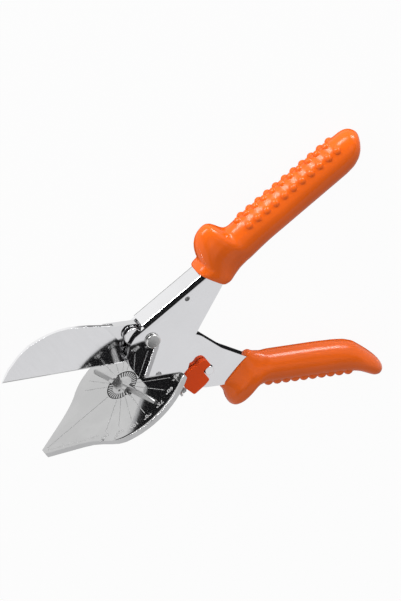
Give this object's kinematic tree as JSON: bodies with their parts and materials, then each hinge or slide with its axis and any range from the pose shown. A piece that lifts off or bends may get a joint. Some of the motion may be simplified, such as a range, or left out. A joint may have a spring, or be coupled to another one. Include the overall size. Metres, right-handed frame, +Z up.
{
  "type": "mitre shears",
  "caption": "Hand shears with a curved blade that closes on a fan shaped protractor plate with a turning mitre fence, orange grips and a sliding latch.",
  "frame": {"origin": "centre of the bottom of the bounding box, with the shears lying open on their far side", "axes": "+X from the plate tip to the grips, +Y from the lower grip to the blade, +Z up, out of the side with the round pin head"},
  "size_m": [0.27, 0.1882, 0.082],
  "materials": {
    "polished_steel": "polished, bright plated",
    "plate_metal": "bright, cast and ground",
    "fence_metal": "satin cast metal",
    "blade_steel": "polished",
    "fastener_steel": "satin",
    "spring_steel": "drawn wire",
    "orange_grip": "glossy soft moulding",
    "orange_latch": "satin moulding"
  },
  "bodies": {
    "upper_frame": {"upper_lever": "polished_steel", "upper_grip": "orange_grip", "anvil_plate": "plate_metal", "plate_rivet_1": "fastener_steel", "plate_rivet_2": "fastener_steel", "pivot_pin": "fastener_steel", "pivot_nut": "fastener_steel", "pivot_washer_near": "fastener_steel", "pivot_washer_far": "fastener_steel", "spring_pin": "fastener_steel", "opening_spring": "spring_steel", "fence_screw": "fastener_steel", "fence_washer": "fastener_steel"},
    "blade_lever": {"lower_lever": "polished_steel", "lower_grip": "orange_grip", "blade": "blade_steel", "blade_screw": "fastener_steel", "blade_nut": "fastener_steel", "latch_pin": "fastener_steel", "latch_screw": "fastener_steel", "latch_spring": "spring_steel"},
    "latch_saddle": {"latch": "orange_latch"},
    "fence": {"mitre_fence": "fence_metal"}
  },
  "joints": [
    {"name": "jaw_pivot", "type": "hinge", "parent": "upper_frame", "child": "blade_lever", "pos_m": [-0.04034, 0.04302, 0.03311], "axis": [0.1421, -0.0877, 0.986], "range_deg": [0, 36.4], "stiffness_Nm_per_rad": 0.6, "springref_deg": -34.38, "deforming": ["opening_spring"]},
    {"name": "fence_turn", "type": "hinge", "parent": "upper_frame", "child": "fence", "pos_m": [-0.07222, 0.02609, 0.0362], "axis": [0.0125, 0.9961, 0.0868], "range_deg": [-60, 30]},
    {"name": "latch_slide", "type": "slide", "parent": "blade_lever", "child": "latch_saddle", "axis": [-0.9898, 0, 0.1427], "range_m": [0, 0.0015], "stiffness_N_per_m": 400, "springref_m": -0.002, "deforming": ["latch_spring"]}
  ]
}
